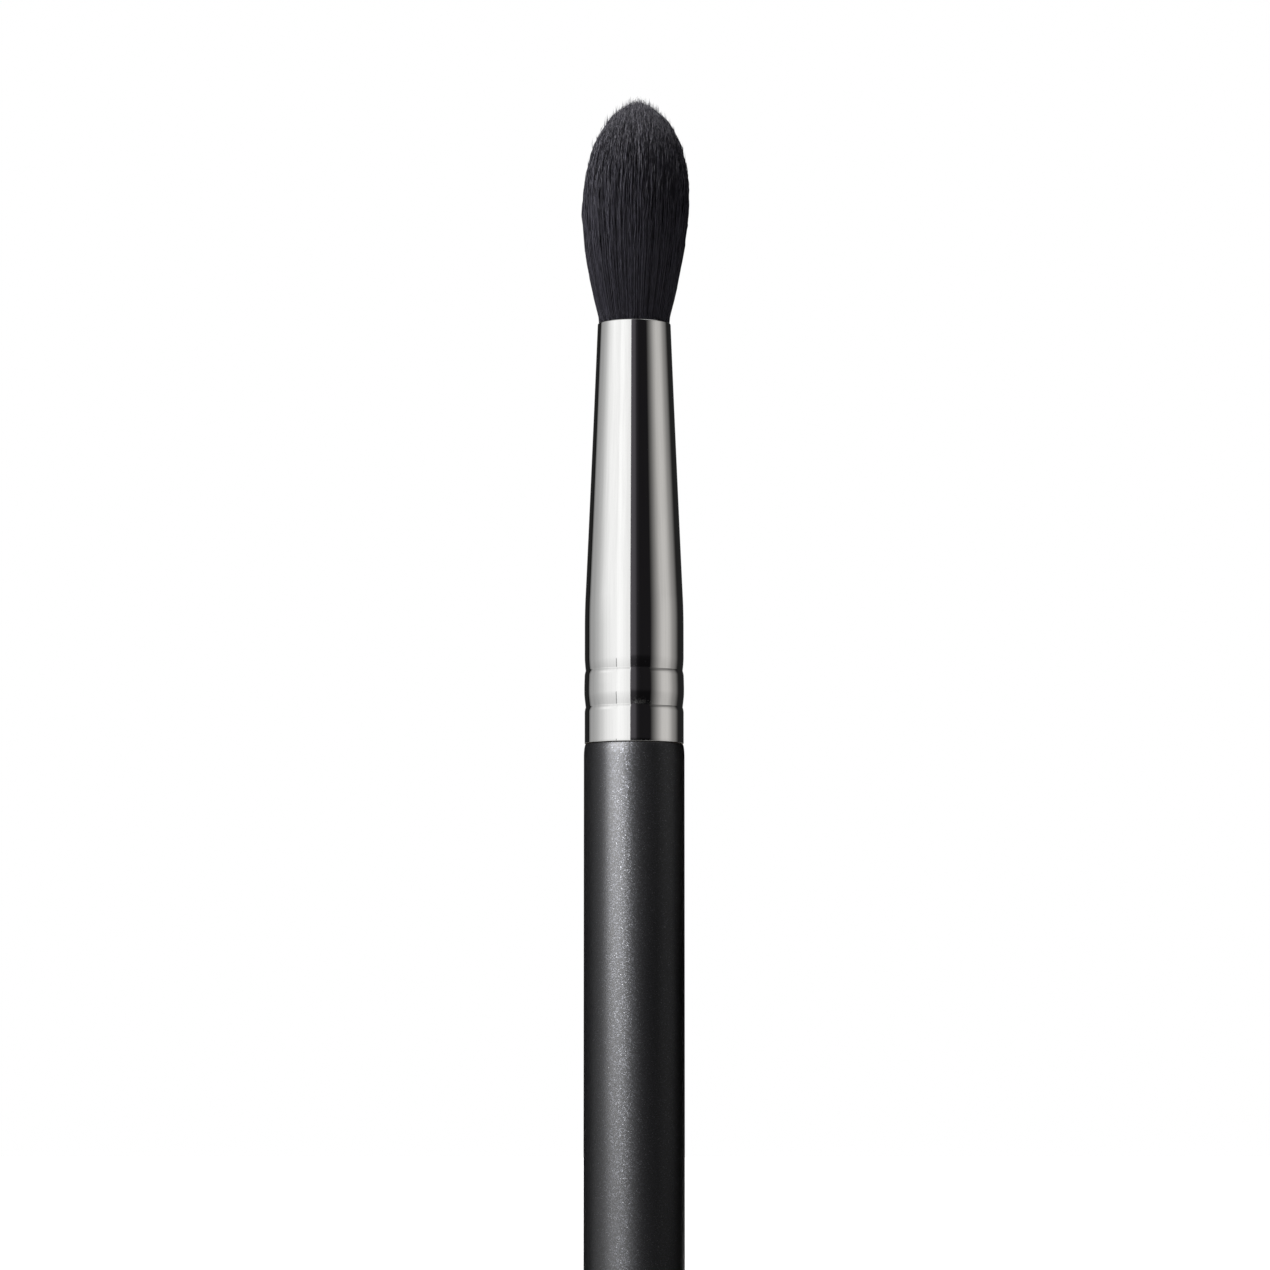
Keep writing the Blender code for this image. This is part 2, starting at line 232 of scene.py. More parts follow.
def makeLacquer(look):
    material, tree = newMaterial("satinBlackFlakeLacquer")
    place = addNode(tree, "TexCoord")
    cells = addNode(tree, "TexVoronoi", {"Scale": 1 / look["flakeCell"]}, {
        "Vector": place.outputs["Object"],
    })
    parts = addNode(tree, "SeparateColor", links={"Color": cells.outputs["Color"]})
    isFlake = addNode(tree, "Math", {"operation": "LESS_THAN", 1: look["flakeShare"]}, {
        0: parts.outputs["Red"],
    })
    # Each flake lies at its own small tilt: the normal plus a random vector, made unit length again
    surface = addNode(tree, "NewGeometry")
    random = addNode(tree, "VectorMath", {"operation": "SUBTRACT", 1: (0.5, 0.5, 0.5)}, {
        0: cells.outputs["Color"],
    })
    amount = addNode(tree, "MapRange", {"To Min": look["baseTilt"], "To Max": look["flakeTilt"]}, {
        "Value": isFlake.outputs["Value"],
    })
    tilt = addNode(tree, "VectorMath", {"operation": "SCALE"}, {
        0: random.outputs["Vector"],
        "Scale": amount.outputs["Result"],
    })
    tilted = addNode(tree, "VectorMath", {"operation": "ADD"}, {
        0: surface.outputs["Normal"],
        1: tilt.outputs["Vector"],
    })
    normal = addNode(tree, "VectorMath", {"operation": "NORMALIZE"}, {0: tilted.outputs["Vector"]})
    roughness = addNode(tree, "MapRange", {
        "To Min": look["roughness"],
        "To Max": look["flakeRoughness"],
    }, {"Value": isFlake.outputs["Value"]})
    flakes = addNode(tree, "ValToRGB", {"stops": look["flakeColours"]}, {
        "Fac": parts.outputs["Green"],
    })
    colour = addNode(tree, "Mix", {"data_type": "RGBA", 6: toLinear(look["base"])}, {
        0: isFlake.outputs["Value"],
        7: flakes.outputs["Color"],
    })
    shader = addNode(tree, "BsdfPrincipled", {
        "IOR": look["ior"],
        "Coat Weight": 1.0,
        "Coat Roughness": look["coatRoughness"],
        "Coat IOR": look["coatIor"],
    }, {
        "Base Color": colour.outputs[2],
        "Metallic": isFlake.outputs["Value"],
        "Roughness": roughness.outputs["Result"],
        "Normal": normal.outputs["Vector"],
    })
    addNode(tree, "OutputMaterial", links={"Surface": shader.outputs["BSDF"]})
    return material


# Turned birch, bare on the tenon inside the ferrule: pale, matt, with fine grain along the handle.

birch = {
    "colours": ((0.35, "#b8925f"), (0.65, "#d9bf94")),
    "grainWidth": 0.35 * mm,
    "grainLength": 9 * mm,
    "detail": 3.0,
    "roughness": 0.72,
    "relief": 0.02 * mm,
    "reliefStrength": 0.5,
}


def makeBirch(look):
    material, tree = newMaterial("turnedBareBirch")
    grain = addPatches(tree, look["grainWidth"], look["grainLength"], look["detail"])
    colour = addNode(tree, "ValToRGB", {"stops": look["colours"]}, {"Fac": grain})
    relief = addNode(tree, "Bump", {"Strength": look["reliefStrength"], "Distance": look["relief"]}, {
        "Height": grain,
    })
    shader = addNode(tree, "BsdfPrincipled", {"Roughness": look["roughness"]}, {
        "Base Color": colour.outputs["Color"],
        "Normal": relief.outputs["Normal"],
    })
    addNode(tree, "OutputMaterial", links={"Surface": shader.outputs["BSDF"]})
    return material


# Bright nickel plate: electroplated over drawn brass tube and buffed. The eye sees a clear mirror
# with sharp panel edges, a trace of lengthwise drawing lines and a very slight warm grey.

nickel = {
    "colours": ((0.3, "#d8d8d7"), (0.6, "#dddddc")),
    "roughness": 0.03,
    "lineRoughness": 0.06,
    "lineNoise": (0.35, 0.75),  # the noise at which a line's roughness starts and is full
    "lineWidth": 0.25 * mm,  # real drawing lines are nearer 0.02 mm
    "lineLength": 25 * mm,
    "detail": 2.0,
    "lineDepth": 0.0002 * mm,
    "lineStrength": 0.3,
}


def makeNickel(look):
    material, tree = newMaterial("buffedNickelPlate")
    lines = addPatches(tree, look["lineWidth"], look["lineLength"], look["detail"])
    colour = addNode(tree, "ValToRGB", {"stops": look["colours"]}, {"Fac": lines})
    low, high = look["lineNoise"]
    roughness = addNode(tree, "MapRange", {
        "From Min": low,
        "From Max": high,
        "To Min": look["roughness"],
        "To Max": look["lineRoughness"],
    }, {"Value": lines})
    relief = addNode(tree, "Bump", {"Strength": look["lineStrength"], "Distance": look["lineDepth"]}, {
        "Height": lines,
    })
    shader = addNode(tree, "BsdfPrincipled", {"Metallic": 1.0}, {
        "Base Color": colour.outputs["Color"],
        "Roughness": roughness.outputs["Result"],
        "Normal": relief.outputs["Normal"],
    })
    addNode(tree, "OutputMaterial", links={"Surface": shader.outputs["BSDF"]})
    return material


# Drawn brass, unplated and dull inside the tube where plating hardly reaches.

brass = {
    "colours": ((0.35, "#7d6740"), (0.6, "#b89a5e")),
    "stain": 2.5 * mm,
    "detail": 4.0,
    "roughness": 0.38,
}


def makeBrass(look):
    material, tree = newMaterial("drawnBrassBore")
    stain = addPatches(tree, look["stain"], look["stain"], look["detail"])
    colour = addNode(tree, "ValToRGB", {"stops": look["colours"]}, {"Fac": stain})
    shader = addNode(tree, "BsdfPrincipled", {"Metallic": 1.0, "Roughness": look["roughness"]}, {
        "Base Color": colour.outputs["Color"],
    })
    addNode(tree, "OutputMaterial", links={"Surface": shader.outputs["BSDF"]})
    return material


# Dyed PBT filament: extruded, crimped and tapered at the tip. The eye sees cool charcoal,
# a soft sheen down each fibre, and lighter tips, whose paleness is a highlight painted into the colour.

fibre = {
    "dark": ("#0b0a0e", "#3c3b41"),  # at the root, and at the tip, where the paler colour is a painted highlight
    "light": ("#2c2b33", "#b6b4bc"),
    "tipHighlightFrom": 0.87,  # of the way up a fibre, where the painted tip highlight starts
    "sheen": "#eeebff",
    # Flecks of painted sheen along each fibre
    "fleckWidth": 0.11 * mm,
    "fleckLength": 0.8 * mm,
    "fleckNoise": (0.3, 0.7),  # the noise at which the swing is full, down and up
    "fleckSwing": 0.75,
    "detail": 1.0,
    "roughness": 0.42,
    "ior": 1.55,
}


def makeFibre(look):
    # The fibres' own map holds each one's tone from left to right and the way up it from 0 to 1, which
    # sets the painted tip highlight
    material, tree = newMaterial("dyedTaperedFilament")
    own = addNode(tree, "UVMap", {"uv_map": "fibreMap"})
    parts = addNode(tree, "SeparateXYZ", links={"Vector": own.outputs["UV"]})
    # Painted highlight: both colours turn paler over the last part of the way up, as if the tips caught
    # the light
    rise = addNode(tree, "MapRange", {"From Min": look["tipHighlightFrom"], "From Max": 1.0}, {
        "Value": parts.outputs["Y"],
    })
    shades = []
    for root, tip in (look["dark"], look["light"]):
        shade = addNode(tree, "Mix", {"data_type": "RGBA", 6: toLinear(root), 7: toLinear(tip)}, {
            0: rise.outputs["Result"],
        })
        shades.append(shade.outputs[2])
    # Painted sheen: short flecks in each fibre's colour stand for the crimp breaking its shine, its
    # tone plus a swing up and down
    flecks = addPatches(tree, look["fleckWidth"], look["fleckLength"], look["detail"])
    low, high = look["fleckNoise"]
    swing = addNode(tree, "MapRange", {
        "From Min": low,
        "From Max": high,
        "To Min": -look["fleckSwing"],
        "To Max": look["fleckSwing"],
    }, {"Value": flecks})
    tone = addNode(tree, "Math", {"operation": "ADD", "use_clamp": True}, {
        0: parts.outputs["X"],
        1: swing.outputs["Result"],
    })
    colour = addNode(tree, "Mix", {"data_type": "RGBA"}, {
        0: tone.outputs["Value"],
        6: shades[0],
        7: shades[1],
    })
    shader = addNode(tree, "BsdfPrincipled", {
        "Roughness": look["roughness"],
        "IOR": look["ior"],
        "Specular Tint": toLinear(look["sheen"]),
    }, {"Base Color": colour.outputs[2]})
    addNode(tree, "OutputMaterial", links={"Surface": shader.outputs["BSDF"]})
    return material


# Waxed cotton thread: three-ply, twisted, drawn through beeswax. Pale, with slanting plies.

cotton = {
    "colours": ((0.1, "#8f866c"), (0.6, "#cfc6ae")),
    "plyPitch": 0.35 * mm,
    "waveLength": 0.314,  # the wave texture's own at scale 1
    "slant": 35,  # degrees
    "waver": 0.6,
    "roughness": 0.6,
    "relief": 0.02 * mm,
    "reliefStrength": 0.7,
}


def makeCotton(look):
    material, tree = newMaterial("waxedCottonThread")
    place = addNode(tree, "TexCoord")
    slant = math.radians(look["slant"])
    slanted = addNode(tree, "Mapping", {"Rotation": (0, slant, slant)}, {
        "Vector": place.outputs["Object"],
    })
    plies = addNode(tree, "TexWave", {
        "Scale": look["waveLength"] / look["plyPitch"],
        "Distortion": look["waver"],
    }, {"Vector": slanted.outputs["Vector"]})
    colour = addNode(tree, "ValToRGB", {"stops": look["colours"]}, {
        "Fac": plies.outputs["Fac"],
    })
    relief = addNode(tree, "Bump", {"Strength": look["reliefStrength"], "Distance": look["relief"]}, {
        "Height": plies.outputs["Fac"],
    })
    shader = addNode(tree, "BsdfPrincipled", {"Roughness": look["roughness"]}, {
        "Base Color": colour.outputs["Color"],
        "Normal": relief.outputs["Normal"],
    })
    addNode(tree, "OutputMaterial", links={"Surface": shader.outputs["BSDF"]})
    return material


# Cast amber epoxy behind the roots, and dried wood glue round the tenon's end: glossy with
# cloudy patches, and the glue creamier and duller.

epoxy = {
    "name": "castAmberEpoxy",
    "colours": ((0.35, "#8a5a1c"), (0.65, "#c4913f")),
    "patch": 0.9 * mm,
    "detail": 3.0,
    "roughness": 0.14,
    "ior": 1.55,
}

woodGlue = {
    "name": "driedWoodGlue",
    "colours": ((0.35, "#c2b083"), (0.65, "#e0d6b4")),
    "patch": 0.5 * mm,
    "detail": 3.0,
    "roughness": 0.4,
    "ior": 1.48,
}


def makeSetting(look):
    material, tree = newMaterial(look["name"])
    cloud = addPatches(tree, look["patch"], look["patch"], look["detail"])
    colour = addNode(tree, "ValToRGB", {"stops": look["colours"]}, {"Fac": cloud})
    shader = addNode(tree, "BsdfPrincipled", {
        "Roughness": look["roughness"],
        "IOR": look["ior"],
    }, {"Base Color": colour.outputs["Color"]})
    addNode(tree, "OutputMaterial", links={"Surface": shader.outputs["BSDF"]})
    return material


# Ferrule: drawn tube, knee and cone, with two rolled grooves. Heights count from its lower rim.

ferruleLow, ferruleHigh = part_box("ferrule")
rimRise = 0.07 * mm  # the rim lies a little above the solid's, and the mouth a little below
mouthDrop = 0.05 * mm

ferrule = {
    "base": ferruleLow.z + rimRise,
    "length": ferruleHigh.z - ferruleLow.z - rimRise - mouthDrop,
    "tubeRadius": 4.945 * mm,
    "mouthRadius": 3.665 * mm,
    "wall": 0.27 * mm,
    "knee": 13.13 * mm,
    "kneeBlend": 1.6 * mm,
    "coneSag": 0.02 * mm,
    "grooves": (3.63 * mm, 7.29 * mm),
    "grooveDepth": 0.1 * mm,
    "upperFlank": 1.35 * mm,
    "upperPower": 1.6,
    "lowerFlank": 0.55 * mm,
    "lowerPower": 1.9,
    "bandCrown": 0.04 * mm,
    "lipRound": 0.12 * mm,
    "boreRound": 0.07 * mm,
    "rimRound": 0.03 * mm,
    "roundSteps": {"rim": 5, "lip": 10, "bore": 4},
    "ringCounts": (10, 16, 26, 14, 16, 26, 8, 14, 40),
    "segments": 256,
}


def ferruleRadius(height):
    # Tube radius, less a parabola across the knee, then a cone with a slight sag, less the two
    # grooves' dips, which are powers of the way down each flank, plus a squared sine between them
    coneLength = ferrule["length"] - ferrule["knee"]
    slope = (ferrule["tubeRadius"] - ferrule["mouthRadius"]) / coneLength
    past = height - ferrule["knee"]
    blend = ferrule["kneeBlend"]
    bend = slope * np.clip(past + blend, 0, None) ** 2 / (4 * blend)
    along = np.clip(past / coneLength, 0, 1)
    cone = slope * past + 4 * ferrule["coneSag"] * along * (1 - along)
    radius = ferrule["tubeRadius"] - np.where(past < blend, bend, cone)
    low, high = ferrule["grooves"]
    across = np.clip((height - low) / (high - low), 0, 1)
    radius = radius + ferrule["bandCrown"] * np.sin(math.pi * across) ** 2
    for bottom in ferrule["grooves"]:
        flank = np.where(height > bottom, ferrule["upperFlank"], ferrule["lowerFlank"])
        power = np.where(height > bottom, ferrule["upperPower"], ferrule["lowerPower"])
        reach = np.clip(1 - np.abs(height - bottom) / flank, 0, 1)
        radius = radius - ferrule["grooveDepth"] * reach**power
    return radius


def ferruleHeights():
    # Rings lie close along the grooves' flanks and wide apart on the straight tube and the cone
    low, high = ferrule["grooves"]
    above, below = ferrule["upperFlank"], ferrule["lowerFlank"]
    knee, blend = ferrule["knee"], ferrule["kneeBlend"]
    bounds = (
        ferrule["rimRound"], low - below, low, low + above, high - below, high, high + above,
        knee - blend, knee + blend, ferrule["length"] - ferrule["lipRound"],
    )
    return spans(bounds, ferrule["ringCounts"])


def makeFerrule():
    # The profile runs up the outside from the rim, over the lip and down the bore
    heights = ferruleHeights()
    outer = np.stack((ferruleRadius(heights), heights), axis=-1)
    inner = outer[::-1] - (ferrule["wall"], 0)
    top, steps = ferrule["length"], ferrule["roundSteps"]
    rim, lip, bore = ferrule["rimRound"], ferrule["lipRound"], ferrule["boreRound"]
    tubeEdge, lipEdge, boreEdge = ferruleRadius(0), outer[-1, 0], inner[0, 0]
    plated = (
        quarterRound((tubeEdge - rim, 0), (tubeEdge, rim), (tubeEdge, 0), steps["rim"])[:-1],
        outer,
        quarterRound((lipEdge, top - lip), (lipEdge - lip, top), (lipEdge, top), steps["lip"])[1:],
        quarterRound((boreEdge + bore, top), (boreEdge, top - bore), (boreEdge, top), steps["bore"]),
    )
    unplated = (
        inner[inner[:, 1] < top - lip],
        [(tubeEdge - ferrule["wall"], 0)],
    )
    profile = np.concatenate((*plated, *unplated)) + (0, ferrule["base"])
    points, faces = turnProfile(profile, ferrule["segments"], ring=True)
    piece = addPiece("ferrule_plated", points, faces)
    # The bore and the cut edge at the foot are bare brass
    lastPlated = sum(len(part) for part in plated) - 1
    isBare = np.arange(len(faces[0])) // ferrule["segments"] >= lastPlated
    piece.data.materials.append(makeNickel(nickel))
    piece.data.materials.append(makeBrass(brass))
    piece.data.polygons.foreach_set("material_index", isBare.astype(np.int32))
    return piece


ferrulePiece = makeFerrule()
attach(ferrulePiece, "root")
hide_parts("ferrule")
print("ferrule made")


# Handle: rounded butt, long taper, barrel, shoulder, and the tenon inside the ferrule

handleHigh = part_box("handle")[1]

handle = {
    "barrelRadius": handleHigh.x + 0.02 * mm,  # with the lacquer's film
    "buttRadius": 3.2 * mm,
    "buttFlat": 1.3 * mm,
    "buttRound": 2.4 * mm,
    "buttSteps": 24,
    "taperTop": 66 * mm,
    "taperPower": 1.8,
    "barrelCounts": (60, 40),
    "shoulderGap": 0.06 * mm,  # hairline between the shoulder and the ferrule's rim
    "shoulderRound": 1.3 * mm,
    "shoulderDepth": 0.18 * mm,
    "shoulderSteps": 20,
    "tenonTop": handleHigh.z,
    "tenonGap": 0.05 * mm,
    "tenonChamfer": 0.6 * mm,
    "tenonCounts": (60, 14),
    "bareFrom": 0.4 * mm,  # above the ferrule's rim
    "segments": 224,
}


def taperRadius(z):
    # Butt radius plus the rise to the barrel, times 1 less a power of the way still to go
    along = np.clip(z / handle["taperTop"], 0, 1)
    rise = 1 - (1 - along) ** handle["taperPower"]
    return handle["buttRadius"] + (handle["barrelRadius"] - handle["buttRadius"]) * rise


def makeHandle():
    # The profile runs from the butt's flat up the outside, in at the shoulder and up the tenon
    base, wide, top = ferrule["base"], handle["barrelRadius"], handle["tenonTop"]
    buttRound, chamfer = handle["buttRound"], handle["tenonChamfer"]
    edge = taperRadius(buttRound)
    shoulder = base - handle["shoulderGap"]
    shoulderLow = shoulder - handle["shoulderRound"]
    neck = wide - handle["shoulderDepth"]
    barrel = spans((buttRound, handle["taperTop"], shoulderLow), handle["barrelCounts"])
    tenonBounds = (0, ferrule["grooves"][1] + ferrule["upperFlank"], top - base - chamfer)
    tenonHeights = spans(tenonBounds, handle["tenonCounts"])
    tenonRadii = ferruleRadius(tenonHeights) - ferrule["wall"] - handle["tenonGap"]
    profile = np.concatenate((
        [(0, 0)],
        quarterRound((handle["buttFlat"], 0), (edge, buttRound), (edge, 0), handle["buttSteps"])[:-1],
        np.stack((taperRadius(barrel), barrel), axis=-1)[:-1],
        quarterRound((wide, shoulderLow), (neck, shoulder), (wide, shoulder), handle["shoulderSteps"]),
        [(tenonRadii[0], shoulder)],
        np.stack((tenonRadii, tenonHeights + base), axis=-1),
        [(tenonRadii[-1] - chamfer, top), (0, top)],
    ))
    points, faces = turnProfile(profile, handle["segments"])
    piece = addPiece("handle_lacquered", points, faces)
    # What lies inside the ferrule is bare wood
    middle = np.empty(len(piece.data.polygons) * 3, np.float32)
    piece.data.polygons.foreach_get("center", middle)
    isBare = middle[2::3] > base + handle["bareFrom"]
    piece.data.materials.append(makeLacquer(lacquer))
    piece.data.materials.append(makeBirch(birch))
    piece.data.polygons.foreach_set("material_index", isBare.astype(np.int32))
    return piece


handlePiece = makeHandle()
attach(handlePiece, "root")
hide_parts("handle")
print("handle made")


# Tuft: fibres packed in the mouth flare to the belly, lean in again and end on a pointed dome.
# Many outer ones bend in and lie over the dome. Heights count from the ferrule's mouth, and
# places across are shares of the bundle's radius.

tuftLow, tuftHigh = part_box("bristle_tuft")

tuft = {
    "mouth": ferrule["base"] + ferrule["length"],
    "length": tuftHigh.z - ferrule["base"] - ferrule["length"],
    "bellyHeight": 11.7 * mm,
    "bellyRadius": 5.37 * mm,
    "mouthSpread": 0.03 * mm,
    "flarePower": 1.62,
    "converge": 0.12,
    "domePowers": (2.14, 0.57),
    "domeSteps": 400,
    "lean": 0.36 * mm,  # how far the tip stands off the axis, to the right
    "leanHeight": 17 * mm,
    "leanPower": 3,
    "fibreCount": 12000,
    "fibreRadius": 0.046 * mm,
    "sides": 3,
    "rootStart": 1.6 * mm,
    "jitter": 0.55,  # over sqrt(fibreCount), which is about a third of the spacing
    "edgeShare": 0.988,  # no fibre stands further out
    "leastShare": 0.01,  # keeps the fibre nearest the axis from a division by nothing
    "domeRise": 0.16 * mm,
    "bendPower": 1.5,
    "clumpCount": 1300,
    "clumpJitter": 0.5,
    "clumpPull": 0.24,
    "clumpLean": 0.03 * mm,
    "clumpDrop": 0.22 * mm,
    "clumpSway": 0.06 * mm,
    "clumpSwayLength": 4.5 * mm,
    "clumpTone": 0.5,  # share of a fibre's tone that its clump sets
    "tonePower": 1.5,
    "fibreLean": 0.05 * mm,
    "fibreSway": 0.03 * mm,
    "fibreSwayLength": 2.925 * mm,
    "fibreDrop": 0.9 * mm,
    "dropPower": 1.8,
    "outerDrop": 4 * mm,
    "outerPowers": (4, 2),  # of the share of the radius, and of the random draw
    "wrapShare": 0.6,  # of the fibres, which bend in over the dome
    "wrapLength": 5 * mm,
    "wrapPower": 2,
    "wrapDepth": 0.05,
    "wrapShort": (0.9 * mm, 3.6 * mm),  # below the dome's top
    "leastReach": 0.02,
    "strayShare": 0.008,
    "strayLean": 0.2 * mm,
    "longShare": 0.4,
    "longRise": 0.6 * mm,
    "longLean": 0.16 * mm,
    "tipTaper": 1.3 * mm,
    "taperPower": 0.7,
    "widths": (0.8, 1.15),
    "girths": ((0, 0.6), (0.2, 0.75), (0.45, 1), (1, 1)),  # up the fibre, and how thick it is there
    "lowTipHighlight": 0.87,  # a fibre that ends low on the sides gets less of the painted tip highlight, so the dome's top is painted lighter
    "seed": 7,
    "layers": {
        "tuft_outer_fibres": {
            "shares": (0.9, 1),
            "rings": (0, 0.12, 0.22, 0.32, 0.42, 0.52, 0.62, 0.72, 0.81, 0.89, 0.95, 0.98),
        },
        "tuft_middle_fibres": {"shares": (0.62, 0.9), "rings": (0, 0.3, 0.6, 0.8, 0.91, 0.97)},
        "tuft_inner_fibres": {"shares": (0, 0.62), "rings": (0, 0.35, 0.7, 0.91, 0.97)},
    },
}


def flowRadius(height):
    # Root radius plus a rise to the belly that slows by a power, then a slow lean in by a square
    belly = tuft["bellyHeight"]
    root = ferruleRadius(ferrule["length"]) - ferrule["wall"] + tuft["mouthSpread"]
    along = np.clip(height / belly, 0, 1)
    flared = root + (tuft["bellyRadius"] - root) * (1 - (1 - along) ** tuft["flarePower"])
    above = np.clip((height - belly) / (tuft["length"] - belly), 0, 1)
    return flared * (1 - tuft["converge"] * above**2)


def domeShare(height):
    # The dome (1 - a^p)^q as a share of the flow radius, where a runs from the belly to the top
    p, q = tuft["domePowers"]
    belly = tuft["bellyHeight"]
    above = np.clip((height - belly) / (tuft["length"] - belly), 0, 1)
    return (1 - above**p) ** q / (1 - tuft["converge"] * above**2)


def endHeight(share):
    # Where a fibre at this share of the radius meets the dome, read off a fine table
    height = np.linspace(tuft["bellyHeight"], tuft["length"], tuft["domeSteps"])
    return np.interp(share, domeShare(height)[::-1], height[::-1])


def sunflower(count, jitter, random):
    # Point k lies at radius sqrt(k / count) and k golden angles round, moved a little at random
    k = np.arange(count) + 0.5
    radius = np.sqrt(k / count)
    angle = k * math.pi * (3 - math.sqrt(5))
    place = np.stack((radius * np.cos(angle), radius * np.sin(angle)), axis=-1)
    return place + random.normal(0, jitter / math.sqrt(count), (count, 2))


def layFibres():
    # One row for each fibre: its place, the share of the radius that it lies at, its end height,
    # its depth under the dome, the pull to its clump, and its lean, sways, tone, turn and width
    random = np.random.default_rng(tuft["seed"])
    count, clumps, edge = tuft["fibreCount"], tuft["clumpCount"], tuft["edgeShare"]
    place = sunflower(count, tuft["jitter"], random)
    share = np.linalg.norm(place, axis=1)
    place = place * np.minimum(1, edge / share)[:, None]
    share = np.minimum(share, edge)
    middles = sunflower(clumps, tuft["clumpJitter"], random)
    gaps = ((place[:, None] - middles[None]) ** 2).sum(axis=-1)
    clump = gaps.argmin(axis=1)
    clumpLean = random.normal(0, tuft["clumpLean"], (clumps, 2))[clump]
    clumpDrop = random.normal(0, tuft["clumpDrop"], clumps)[clump]
    clumpTone = random.random(clumps)[clump]
    ownLean = random.normal(0, tuft["fibreLean"], (count, 2))
    # Most drops are short, and a few outer fibres end far down the sides
    draw = random.random(count)
    outerPower, drawPower = tuft["outerPowers"]
    ownDrop = tuft["fibreDrop"] * draw ** tuft["dropPower"]
    ownDrop = ownDrop + tuft["outerDrop"] * share**outerPower * draw**drawPower
    isStray = random.random(count) < tuft["strayShare"]
    isLong = random.random(count) < tuft["longShare"]
    outwards = place / np.maximum(share, tuft["leastShare"])[:, None]
    spread = (tuft["strayLean"] * isStray + tuft["longLean"] * isLong) * random.random(count)
    # Both sways are sines up the fibre, across it in any direction, and a clump shares its own
    clumpSway = random.normal(0, tuft["clumpSway"], (clumps, 2))[clump]
    clumpPhase = random.uniform(0, math.tau, clumps)[clump]
    ownRise = tuft["longRise"] * isLong * random.random(count)
    end = endHeight(share) + tuft["domeRise"] + ownRise - clumpDrop * share - ownDrop
    # Many outer fibres run on past where they meet the dome, lie over it and end short of its top
    isWrap = random.random(count) < tuft["wrapShare"]
    wrap = tuft["wrapLength"] * share ** tuft["wrapPower"] * isWrap * random.random(count)
    wrapTop = tuft["length"] - random.uniform(*tuft["wrapShort"], count)
    end = np.maximum(end, np.minimum(end + wrap, wrapTop))
    depth = random.uniform(0, tuft["wrapDepth"], count)
    toneShare = tuft["clumpTone"]
    return {
        "place": place,
        "share": share,
        "end": end,
        "depth": np.where(isWrap, depth, -1),  # at -1 the dome doesn't bind a fibre
        "pull": (middles[clump] - place) * tuft["clumpPull"],
        "lean": clumpLean + ownLean + outwards * spread[:, None],
        "clumpSway": clumpSway,
        "clumpPhase": clumpPhase,
        "fibreSway": random.normal(0, tuft["fibreSway"], (count, 2)),
        "fibrePhase": random.uniform(0, math.tau, count),
        "tone": (toneShare * clumpTone + (1 - toneShare) * random.random(count)) ** tuft["tonePower"],
        "turn": random.uniform(0, math.tau, count),
        "width": random.uniform(*tuft["widths"], count),
    }


